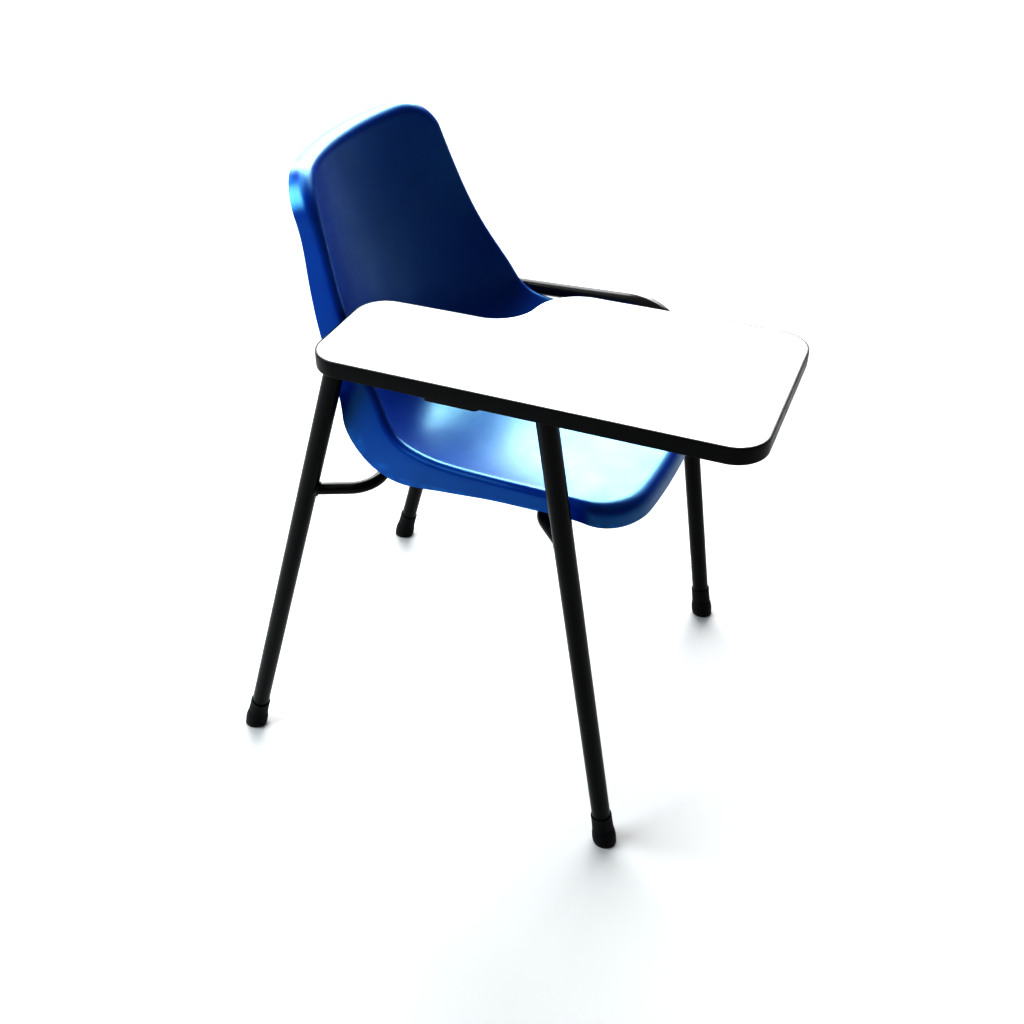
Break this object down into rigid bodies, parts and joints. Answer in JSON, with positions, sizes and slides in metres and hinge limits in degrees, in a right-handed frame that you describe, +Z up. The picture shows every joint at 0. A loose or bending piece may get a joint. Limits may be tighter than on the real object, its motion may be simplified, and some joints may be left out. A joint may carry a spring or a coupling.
{
  "type": "student desk chair",
  "caption": "Moulded bucket seat on a four-legged bent tube frame with a fixed writing tablet over the sitter's right side.",
  "frame": {"origin": "on the floor, under the middle of the chair's bounding box", "axes": "+Z up, the sitter faces -Y, the sitter's right side and the writing tablet are at -X"},
  "size_m": [0.5102, 0.6448, 0.7618],
  "materials": {
    "moulded_shell": "satin moulded polypropylene with a fine texture",
    "laminate_top": "smooth white high-pressure laminate",
    "backing_sheet": "matt backing laminate",
    "board_core": "raw particle board",
    "edge_band": "satin black edge band",
    "coated_steel": "semi-gloss black powder coat",
    "foot_rubber": "matt black rubber",
    "insert_brass": "plain brass",
    "zinc_hardware": "bright zinc plate"
  },
  "bodies": {
    "root": {"foot_tip_front_left": "foot_rubber", "foot_tip_front_right": "foot_rubber", "foot_tip_rear_left": "foot_rubber", "foot_tip_rear_right": "foot_rubber", "front_seat_bar": "coated_steel", "left_side_frame": "coated_steel", "rear_seat_bar": "coated_steel", "right_front_leg": "coated_steel", "right_rear_leg": "coated_steel", "seat_bolt_front_left": "zinc_hardware", "seat_bolt_front_right": "zinc_hardware", "seat_bolt_rear_left": "zinc_hardware", "seat_bolt_rear_right": "zinc_hardware", "seat_insert_front_left": "insert_brass", "seat_insert_front_right": "insert_brass", "seat_insert_rear_left": "insert_brass", "seat_insert_rear_right": "insert_brass", "seat_mount_plate_front_left": "coated_steel", "seat_mount_plate_front_right": "coated_steel", "seat_mount_plate_rear_left": "coated_steel", "seat_mount_plate_rear_right": "coated_steel", "seat_shell": "moulded_shell", "seat_washer_front_left": "zinc_hardware", "seat_washer_front_right": "zinc_hardware", "seat_washer_rear_left": "zinc_hardware", "seat_washer_rear_right": "zinc_hardware", "tablet_backing_sheet": "backing_sheet", "tablet_core": "board_core", "tablet_edge_band": "edge_band", "tablet_front_plate": "coated_steel", "tablet_laminate": "laminate_top", "tablet_middle_plate": "coated_steel", "tablet_rear_plate": "coated_steel", "tablet_screw_front_1": "zinc_hardware", "tablet_screw_front_2": "zinc_hardware", "tablet_screw_front_3": "zinc_hardware", "tablet_screw_middle_1": "zinc_hardware", "tablet_screw_middle_2": "zinc_hardware", "tablet_screw_rear_1": "zinc_hardware", "tablet_screw_rear_2": "zinc_hardware", "tablet_screw_rear_3": "zinc_hardware", "tablet_strap": "coated_steel", "tip_washer_front_left": "zinc_hardware", "tip_washer_front_right": "zinc_hardware", "tip_washer_rear_left": "zinc_hardware", "tip_washer_rear_right": "zinc_hardware"}
  },
  "joints": []
}
